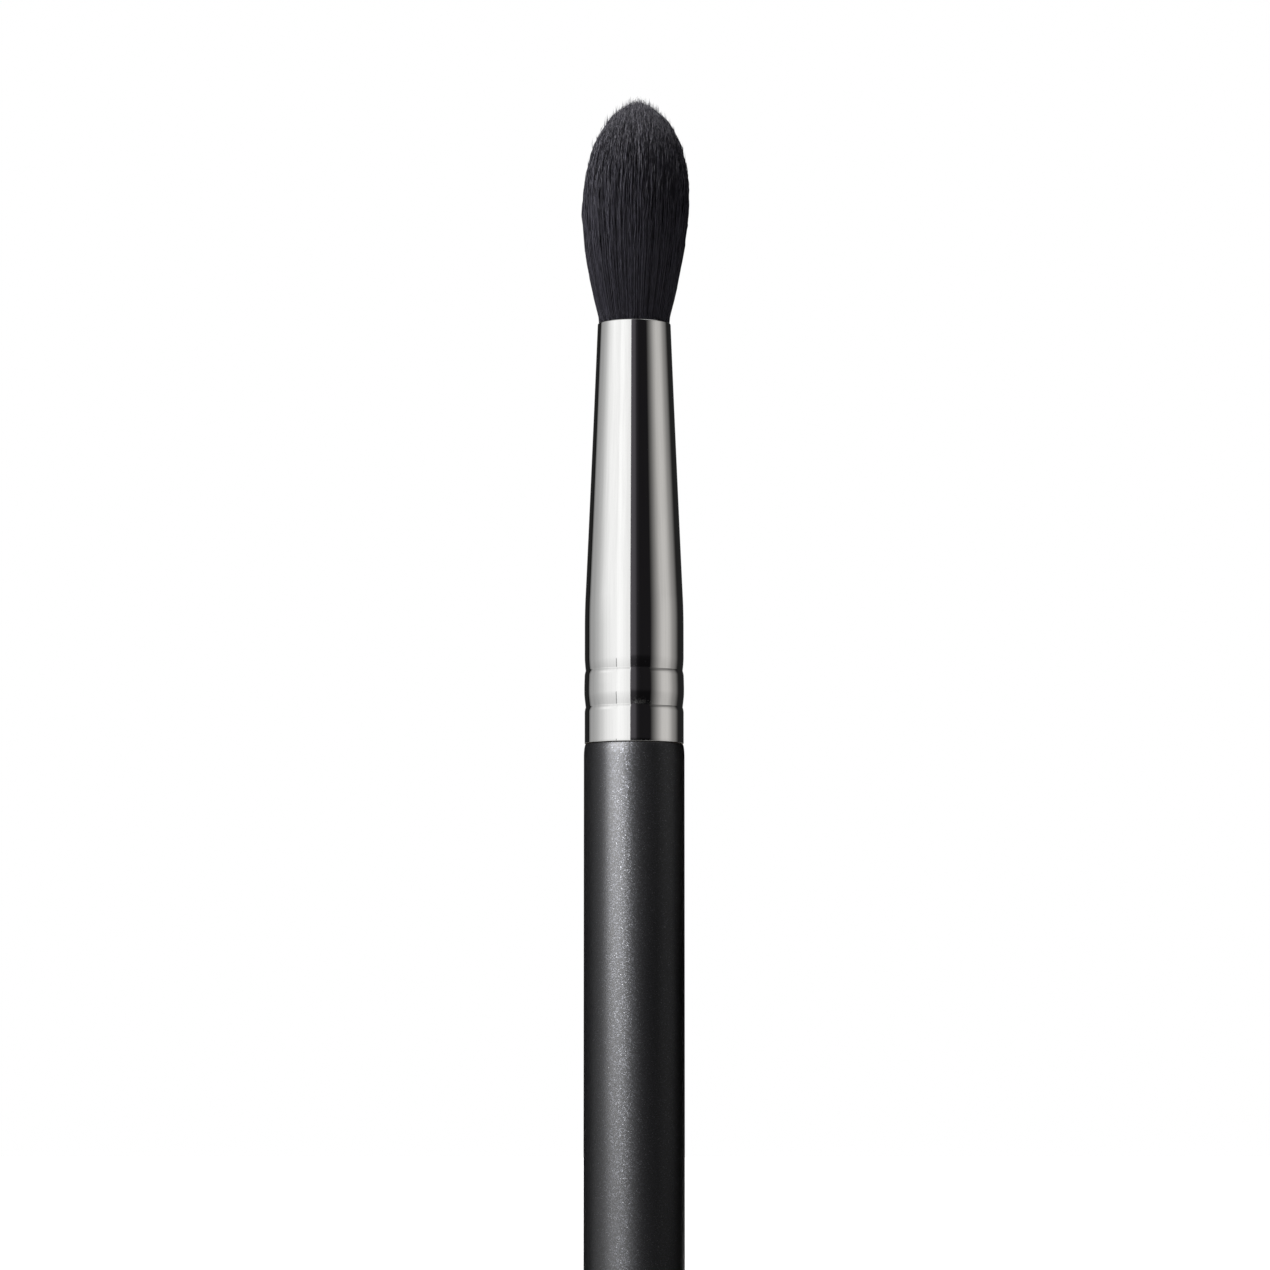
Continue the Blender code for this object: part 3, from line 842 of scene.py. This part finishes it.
def growFibres(name, fibres, chosen, ringShares):
    # A ring's middle is (place + pull * bend) * inwards * flow radius + lean * bend + both sways,
    # and the tuft's own lean. Bend is a power of the height, and inwards keeps it under the dome.
    # Three points stand round each middle. The root is closed, and the tip is one point.
    pick = {key: value[chosen] for key, value in fibres.items()}
    count, rings, sides = len(pick["end"]), len(ringShares), tuft["sides"]
    end = pick["end"][:, None]
    along = np.array([*ringShares, 1.0])[None, :]
    height = -tuft["rootStart"] + (end + tuft["rootStart"]) * along
    bend = (np.clip(height / tuft["length"], 0, None) ** tuft["bendPower"])[..., None]
    # A fibre that lies over the dome stands no further out than it, less its own small depth
    reach = (domeShare(height) - pick["depth"][:, None]) / pick["share"][:, None]
    inwards = np.clip(reach, tuft["leastReach"], 1)[..., None]
    middle = (pick["place"][:, None] + pick["pull"][:, None] * bend) * inwards
    middle = middle * flowRadius(height)[..., None]
    middle = middle + pick["lean"][:, None] * bend
    grow = np.clip(height / tuft["bellyHeight"], 0, 1)[..., None]
    for kind in ("clump", "fibre"):
        turns = math.tau * height / tuft[kind + "SwayLength"] + pick[kind + "Phase"][:, None]
        middle = middle + pick[kind + "Sway"][:, None] * grow * np.sin(turns)[..., None]
    middle[..., 0] += tuft["lean"] * np.clip(height / tuft["leanHeight"], 0, 1) ** tuft["leanPower"]
    girth = np.interp(along, *zip(*tuft["girths"]))
    girth = girth * np.clip((1 - along) * end / tuft["tipTaper"], 0, 1) ** tuft["taperPower"]
    girth = girth * pick["width"][:, None]
    angle = pick["turn"][:, None] + math.tau * np.arange(sides)[None, :] / sides
    circle = np.stack((np.cos(angle), np.sin(angle)), axis=-1)[:, None]
    around = middle[:, :-1, None] + circle * (tuft["fibreRadius"] * girth[:, :-1])[..., None, None]
    z = np.broadcast_to(height[:, :-1, None, None], (count, rings, sides, 1))
    body = np.concatenate((around, z), axis=-1).reshape(count, -1, 3)
    tip = np.concatenate((middle[:, -1], height[:, -1:]), axis=-1)[:, None]
    points = np.concatenate((body, tip), axis=1)
    points[..., 2] += tuft["mouth"]
    perFibre = rings * sides + 1
    start = (np.arange(count) * perFibre)[:, None, None]
    side = np.arange(sides)
    last = (rings - 1) * sides
    wall = gridFaces(rings, sides, False)
    cap = np.stack((last + side, last + (side + 1) % sides, np.full(sides, rings * sides)), axis=-1)
    root = side[::-1]
    faces = [(start + wall).reshape(-1, 4), (start + cap).reshape(-1, 3), (start + root).reshape(-1, 3)]
    piece = addPiece(name, points.reshape(-1, 3), faces)
    # The map holds each fibre's tone, and how far up it a point is, less for a fibre that ends low,
    # which makes the painted tip highlight strongest at the top of the dome
    pointUp = np.concatenate((np.repeat(np.array(ringShares), sides), [1.0]))
    up = pointUp * (tuft["lowTipHighlight"] + (1 - tuft["lowTipHighlight"]) * end / tuft["length"])
    tone = np.broadcast_to(pick["tone"][:, None], (count, perFibre))
    addMap(piece, "fibreMap", np.stack((tone, up), axis=-1).reshape(-1, 2))
    return piece


# Packed roots in the bore: straight neck, a waist where the thread is tied, and a foot
roots = {
    "slope": 0.4 * mm,
    "clear": 0.06 * mm,
    "waistDepth": 0.5 * mm,  # inside the thread's outer edge
    "topGap": 0.15 * mm,
    "segments": 96,
    "sharpAngle": 30,  # degrees
}


def makeRoots():
    # The profile follows the bore, less the clearance, and draws in to the waist between two slopes
    base, slope, clear = ferrule["base"], roots["slope"], roots["clear"]
    threadLow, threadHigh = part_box("binding_thread")
    waistTop = threadHigh.z - base + slope + clear
    waistLow = threadLow.z - base - slope - clear
    waist = threadHigh.x - roots["waistDepth"]
    foot = tuftLow.z - base
    top = ferrule["length"] - roots["topGap"]
    seated = np.array((foot, waistLow, waistTop, top))
    footSeat, lowSeat, highSeat, topSeat = ferruleRadius(seated) - ferrule["wall"] - clear
    profile = np.array((
        (0, foot), (footSeat, foot), (lowSeat, waistLow),
        (waist, waistLow + slope), (waist, waistTop - slope),
        (highSeat, waistTop), (topSeat, top), (0, top),
    ))
    points, faces = turnProfile(profile + (0, base), roots["segments"])
    piece = addPiece("tuft_roots", points, faces)
    piece.data.set_sharp_from_angle(angle=math.radians(roots["sharpAngle"]))
    addMap(piece, "fibreMap", np.zeros((len(points), 2)))
    return piece


fibres = layFibres()
tuftPieces = []
for name, layer in tuft["layers"].items():
    low, high = layer["shares"]
    chosen = (fibres["share"] > low) & (fibres["share"] <= high)
    tuftPieces.append(growFibres(name, fibres, chosen, layer["rings"]))
tuftPieces.append(makeRoots())
fibreMaterial = makeFibre(fibre)
for piece in tuftPieces:
    piece.data.materials.append(fibreMaterial)
    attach(piece, "root")
    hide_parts("bristle_tuft")
    print(piece.name, "has", len(piece.data.polygons), "faces")


# Hidden pieces keep their solids and get their finishes

for nodeName, material in (
    ("binding_thread", makeCotton(cotton)),
    ("resin_plug", makeSetting(epoxy)),
    ("glue_ring", makeSetting(woodGlue)),
):
    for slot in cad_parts[nodeName].material_slots:
        slot.material = material
print("inner pieces finished")


# Studio: curved panels round the brush that only light and reflections see. Azimuths are degrees
# from the camera's side, positive to the right. Each panel's layers add up, and a layer glows by
# its level at an azimuth times its rise at a height.

studio = {
    "radius": 0.5,
    "columns": 49,
    "rows": 3,
}

panelLooks = {
    "key": {
        "azimuths": (-134, -9),
        "heights": (0.03, 0.75),
        "colour": "#ffffff",
        "layers": (
            {
                "levels": (
                    (-131, 0.0), (-127, 0.22), (-121, 0.42), (-108, 0.47), (-95, 0.59),
                    (-80, 0.82), (-65, 1.1), (-48, 1.22), (-42.5, 1.21), (-41.5, 0.0),
                ),
                "rise": ((0.03, 0.55), (0.06, 0.78), (0.13, 1.0), (0.4, 1.0), (0.75, 0.3)),
            },
            {
                "levels": ((-42.5, 0.0), (-41.5, 1.33), (-34, 1.35), (-24, 1.24), (-9, 1.1)),
                "rise": ((0.03, 0.75), (0.06, 0.88), (0.13, 1.0), (0.4, 1.0), (0.75, 0.3)),
            },
            {
                "levels": ((-114, 0.0), (-94, 0.08), (-78, 0.3), (-62, 0.17), (-47, 0.0)),
                "rise": ((0.17, 0.0), (0.29, 1.0), (0.31, 0.8), (0.38, 0.1)),
            },
        ),
    },
    "front": {
        "azimuths": (-9, 38),
        "heights": (0.04, 1.6),
        "colour": "#fbf4ff",
        "layers": (
            {
                "levels": ((-9, 0.115), (2, 0.085), (7, 0.025), (14, 0.013)),
                "rise": ((0.04, 0.38), (0.1, 0.45), (0.125, 0.6), (0.152, 1.0)),
            },
        ),
    },
    "fill": {
        "azimuths": (38, 126),
        "heights": (0.03, 0.75),
        "colour": "#fffcf9",
        "layers": (
            {
                "levels": (
                    (38, 0.02), (41, 0.07), (47, 0.18), (53, 0.32), (65, 0.64), (73, 0.73), (83, 0.72),
                    (89, 0.63), (100, 0.38), (112, 0.22), (117, 0.13), (122, 0.04), (126, 0.02),
                ),
                "rise": (
                    (0.03, 0.82), (0.1, 0.9), (0.15, 1.0), (0.19, 1.0),
                    (0.24, 0.94), (0.29, 0.9), (0.37, 0.37), (0.75, 0.3),
                ),
            },
        ),
    },
    "back": {
        "azimuths": (126, 226),
        "heights": (0.04, 0.75),
        "colour": "#ffffff",
        "layers": (
            {
                "levels": ((164, 0.02), (174, 0.4), (186, 0.4), (196, 0.02)),
                "rise": ((0.04, 1.0), (0.75, 1.0)),
            },
        ),
    },
}


def curvedSheet(radius, azimuths, heights):
    # Point (i, j) is (r sin a_j, -r cos a_j, z_i): a stretch of a cylinder round the brush
    azimuth = np.radians(azimuths)[None, :]
    z = np.asarray(heights)[:, None]
    shape = (z.size, azimuth.size)
    points = np.stack((
        np.broadcast_to(radius * np.sin(azimuth), shape),
        np.broadcast_to(-radius * np.cos(azimuth), shape),
        np.broadcast_to(z, shape),
    ), axis=-1).reshape(-1, 3)
    rows, columns = shape
    faces = gridFaces(rows, columns, False).reshape(rows - 1, columns, 4)[:, :-1].reshape(-1, 4)
    return points, [faces]


def makePanel(name, look):
    # The glow at azimuth a and height z is the sum over the layers of level(a) times rise(z)
    (first, last), (low, high) = look["azimuths"], look["heights"]
    columns, rows = studio["columns"], studio["rows"]
    azimuths, heights = np.linspace(first, last, columns), np.linspace(low, high, rows)
    points, faces = curvedSheet(studio["radius"], azimuths, heights)
    panel = addPiece(name, points, faces)
    point = np.arange(len(points))
    across = (point % columns) / (columns - 1)
    upwards = (point // columns) / (rows - 1)
    addMap(panel, "panelMap", np.stack((across, upwards), axis=-1))

    material, tree = newMaterial(name + "Glow")
    own = addNode(tree, "UVMap", {"uv_map": "panelMap"})
    parts = addNode(tree, "SeparateXYZ", links={"Vector": own.outputs["UV"]})
    shader = None
    for layer in look["layers"]:
        peak = max(level for _, level in layer["levels"])
        sideways = addNode(tree, "ValToRGB", {"stops": [
            ((side - first) / (last - first), grey(level / peak)) for side, level in layer["levels"]
        ]}, {"Fac": parts.outputs["X"]})
        rising = addNode(tree, "ValToRGB", {"stops": [
            ((height - low) / (high - low), grey(level)) for height, level in layer["rise"]
        ]}, {"Fac": parts.outputs["Y"]})
        both = addNode(tree, "Mix", {"data_type": "RGBA", "blend_type": "MULTIPLY", 0: 1.0}, {
            6: sideways.outputs["Color"],
            7: rising.outputs["Color"],
        })
        tinted = addNode(tree, "Mix", {
            "data_type": "RGBA", "blend_type": "MULTIPLY", 0: 1.0, 7: toLinear(look["colour"]),
        }, {6: both.outputs[2]})
        glow = addNode(tree, "Emission", {"Strength": peak}, {"Color": tinted.outputs[2]})
        if shader:
            glow = addNode(tree, "AddShader", links={0: shader, 1: glow.outputs["Emission"]})
        shader = glow.outputs[0]
    addNode(tree, "OutputMaterial", links={"Surface": shader})
    panel.data.materials.append(material)
    panel.visible_camera = False
    return panel


panels = {name: makePanel(name + "Panel", look) for name, look in panelLooks.items()}
print("panels made")


# A grey stand at the left shows in the grooves as a fine upright line

stand = {
    "azimuth": -42,
    "away": 0.47,
    "radius": 0.005,
    "height": 0.115,
    "segments": 24,
    "colour": "#4a4a4c",
}


def paintUnseen(piece, name, settings):
    # Plain paint for a studio object that the camera doesn't see
    material, tree = newMaterial(name)
    shader = addNode(tree, "BsdfPrincipled", settings)
    addNode(tree, "OutputMaterial", links={"Surface": shader.outputs["BSDF"]})
    piece.data.materials.append(material)
    piece.visible_camera = False


def makeStand(look):
    # A cylinder from the floor up, moved out along its azimuth
    radius, height, azimuth = look["radius"], look["height"], math.radians(look["azimuth"])
    points, faces = turnProfile([(0, 0), (radius, 0), (radius, height), (0, height)], look["segments"])
    points = points + (look["away"] * math.sin(azimuth), -look["away"] * math.cos(azimuth), 0)
    piece = addPiece("stand", points, faces)
    paintUnseen(piece, "paintedStand", {"Base Color": toLinear(look["colour"])})


# Low black cards at the sides keep the floor out of the lacquer. Only reflections see them.

card = {
    "azimuths": {"rightFlag": (0, 150), "leftFlag": (-160, -105)},
    "radius": 0.17,
    "heights": (0.001, 0.079),
    "columns": 49,
    "colour": "#050505",
}


def makeCard(name, look):
    # A stretch of an upright cylinder round the brush, just off the floor
    azimuths = np.linspace(*look["azimuths"][name], look["columns"])
    piece = addPiece(name, *curvedSheet(look["radius"], azimuths, look["heights"]))
    paintUnseen(piece, "blackCard", {
        "Base Color": toLinear(look["colour"]),
        "Roughness": 1.0,
        "Specular IOR Level": 0.0,
    })
    piece.visible_diffuse = False
    piece.visible_shadow = False


makeStand(stand)
for cardName in card["azimuths"]:
    makeCard(cardName, card)
print("stand and cards made")


# Lamps: a strip for the lacquer's highlight with weak ones for its two edges, and a strip and a
# weak fill for the tuft. Each lights its own pieces alone.

lamps = {
    "lacquerStrip": {
        "lights": "handle", "azimuth": -41, "distance": 0.38, "height": 0.314, "aim": 0.262,
        "size": (0.315, 0.385), "level": 8.4, "colour": "#fdfdff",
    },
    "lacquerEdge": {
        "lights": "handle", "azimuth": -88, "distance": 0.4, "height": 0.28, "aim": 0.2,
        "size": (0.34, 0.42), "level": 0.13, "colour": "#ffffff",
    },
    "lacquerFill": {
        "lights": "handle", "azimuth": 82, "distance": 0.4, "height": 0.28, "aim": 0.2,
        "size": (0.34, 0.42), "level": 0.2, "colour": "#ffffff",
    },
    "tuftStrip": {
        "lights": "tuft", "azimuth": -70, "distance": 0.4, "height": 0.32, "aim": 0.17,
        "size": (0.3, 0.3), "level": 3.9, "colour": "#ffffff",
    },
    "tuftFill": {
        "lights": "tuft", "azimuth": 75, "distance": 0.4, "height": 0.14, "aim": 0.16,
        "size": (0.3, 0.24), "level": 0.8, "colour": "#ffffff",
    },
}


def linkTo(light, pieces, lit):
    # The lamp or panel lights these pieces alone where lit is INCLUDE, and all but these at EXCLUDE
    group = bpy.data.collections.new(light.name + "Links")
    for piece in pieces:
        group.objects.link(piece)
    for member in group.collection_objects:
        member.light_linking.link_state = lit
    light.light_linking.receiver_collection = group


def makeLamp(name, look):
    # An area lamp's level is its radiance, so its power is pi times level times area
    wide, high = look["size"]
    data = bpy.data.lights.new(name, "AREA")
    data.shape = "RECTANGLE"
    data.size = wide
    data.size_y = high
    data.color = toLinear(look["colour"])[:3]
    data.energy = math.pi * look["level"] * wide * high
    lamp = bpy.data.objects.new(name, data)
    bpy.context.scene.collection.objects.link(lamp)
    azimuth, distance, height = math.radians(look["azimuth"]), look["distance"], look["height"]
    lamp.location = (distance * math.sin(azimuth), -distance * math.cos(azimuth), height)
    down = math.atan2(height - look["aim"], distance)
    lamp.rotation_euler = (math.pi / 2 - down, 0, azimuth)
    lamp.visible_camera = False
    return lamp


lightedPieces = {"handle": [handlePiece], "tuft": tuftPieces}
for name, look in lamps.items():
    linkTo(makeLamp(name, look), lightedPieces[look["lights"]], "INCLUDE")
linkTo(panels["key"], [handlePiece], "EXCLUDE")
for name in ("fill", "back"):
    linkTo(panels[name], [handlePiece, *tuftPieces], "EXCLUDE")
print("lamps placed")


# Floor and background, white to the camera and to reflections

floor = {
    "size": 8.0,
    "drop": 0.05 * mm,
    "colour": "#e6e6e4",
    "roughness": 0.6,
    "near": 0.5,  # where the glow starts to rise
    "far": 1.4,  # and where it is full
    "nearGlow": 0.26,
    "farGlow": 1.0,
}


def addSeen(tree):
    # 1 for camera, glossy and transmission rays, and else 0
    path = addNode(tree, "LightPath")
    first = addNode(tree, "Math", {"operation": "MAXIMUM"}, {
        0: path.outputs["Is Camera Ray"],
        1: path.outputs["Is Glossy Ray"],
    })
    return addNode(tree, "Math", {"operation": "MAXIMUM"}, {
        0: first.outputs["Value"],
        1: path.outputs["Is Transmission Ray"],
    }).outputs["Value"]


def makeFloor(look):
    # A square at height -drop. Its glow rises with the distance from the brush, so the brush keeps
    # its shadow near by and the floor runs out into plain white.
    half = look["size"] / 2
    points = np.array([(-half, -half, 0), (half, -half, 0), (half, half, 0), (-half, half, 0)])
    piece = addPiece("studioFloor", points - (0, 0, look["drop"]), [np.array([[0, 1, 2, 3]])])
    material, tree = newMaterial("paintedStudioFloor")
    place = addNode(tree, "TexCoord")
    away = addNode(tree, "VectorMath", {"operation": "LENGTH"}, {0: place.outputs["Object"]})
    glow = addNode(tree, "MapRange", {
        "From Min": look["near"],
        "From Max": look["far"],
        "To Min": look["nearGlow"],
        "To Max": look["farGlow"],
    }, {"Value": away.outputs["Value"]})
    strength = addNode(tree, "Math", {"operation": "MULTIPLY"}, {
        0: glow.outputs["Result"],
        1: addSeen(tree),
    })
    shader = addNode(tree, "BsdfPrincipled", {
        "Base Color": toLinear(look["colour"]),
        "Roughness": look["roughness"],
        "Emission Color": grey(1.0),
    }, {"Emission Strength": strength.outputs["Value"]})
    addNode(tree, "OutputMaterial", links={"Surface": shader.outputs["BSDF"]})
    piece.data.materials.append(material)


background = {
    "seenLevel": 1.0,
    "lightLevel": 0.5,  # what the surfaces are lit by
}


def makeWorld(look):
    # Strength is the light level plus, for rays that show it, the rest up to the seen level
    world = bpy.data.worlds.new("whiteStudio")
    world.use_nodes = True
    tree = world.node_tree
    tree.nodes.clear()
    strength = addNode(tree, "MapRange", {"To Min": look["lightLevel"], "To Max": look["seenLevel"]}, {
        "Value": addSeen(tree),
    })
    light = addNode(tree, "Background", {"Color": grey(1.0)}, {"Strength": strength.outputs["Result"]})
    addNode(tree, "OutputWorld", links={"Surface": light.outputs["Background"]})
    bpy.context.scene.world = world


makeFloor(floor)
makeWorld(background)
print("floor and background made")
